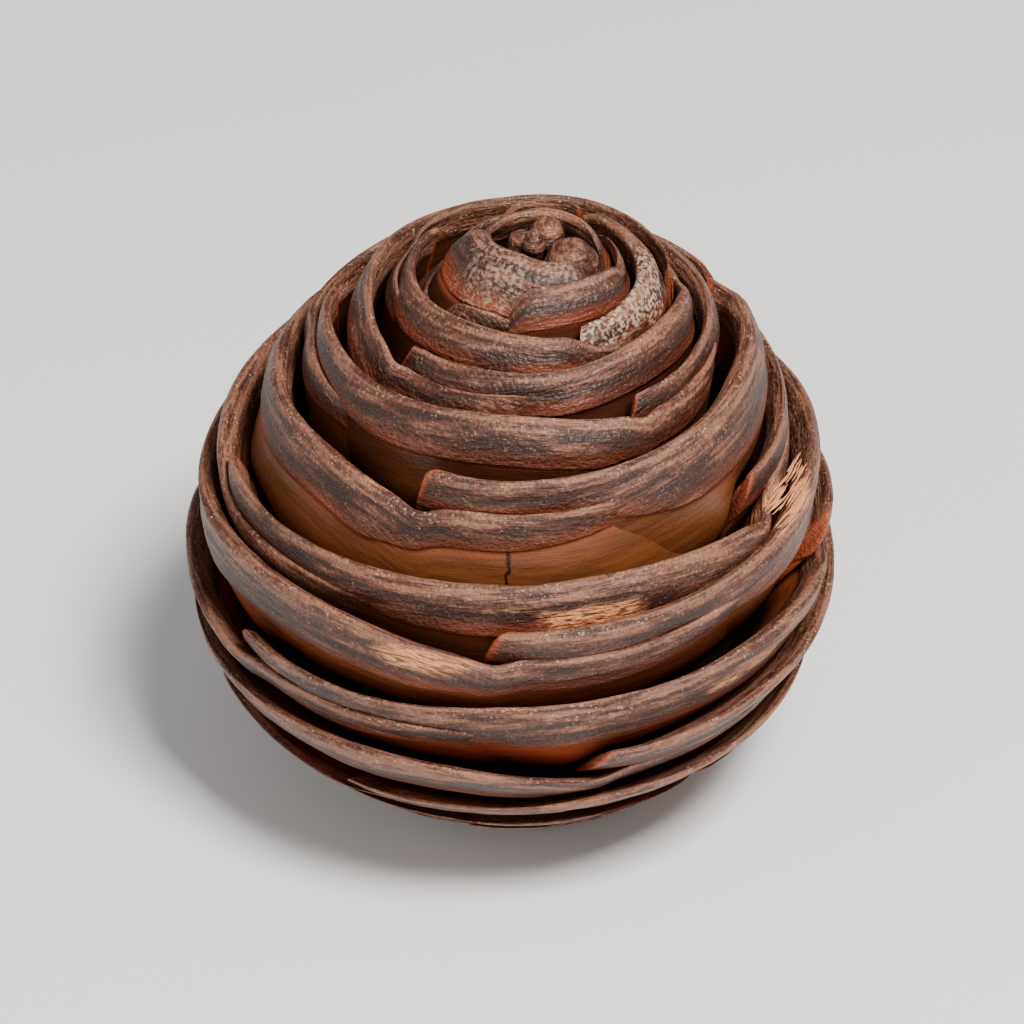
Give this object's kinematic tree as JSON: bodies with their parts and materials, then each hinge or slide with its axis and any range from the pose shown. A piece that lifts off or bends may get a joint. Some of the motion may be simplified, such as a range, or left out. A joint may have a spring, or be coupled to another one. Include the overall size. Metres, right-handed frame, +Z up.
{
  "type": "leucadendron cone",
  "caption": "Dried woody seed cone, round with a blunt tip: broad overlapping bracts wind round it with thick weathered rims and deep gaps, above a flat cut stem end.",
  "frame": {"origin": "middle of the flat cut base", "axes": "+Z up the cone's axis to its tip, -Y the side seen in the picture, +X to the right in it"},
  "size_m": [0.048, 0.048, 0.0468],
  "materials": {
    "bract": "weathered grey-brown rims with fine fibres, smoother caramel to red-brown faces",
    "cut_wood": "raw cut wood with a granular ochre pith"
  },
  "bodies": {
    "root": {"bracts": "bract", "cut_stem": "cut_wood"}
  },
  "joints": []
}
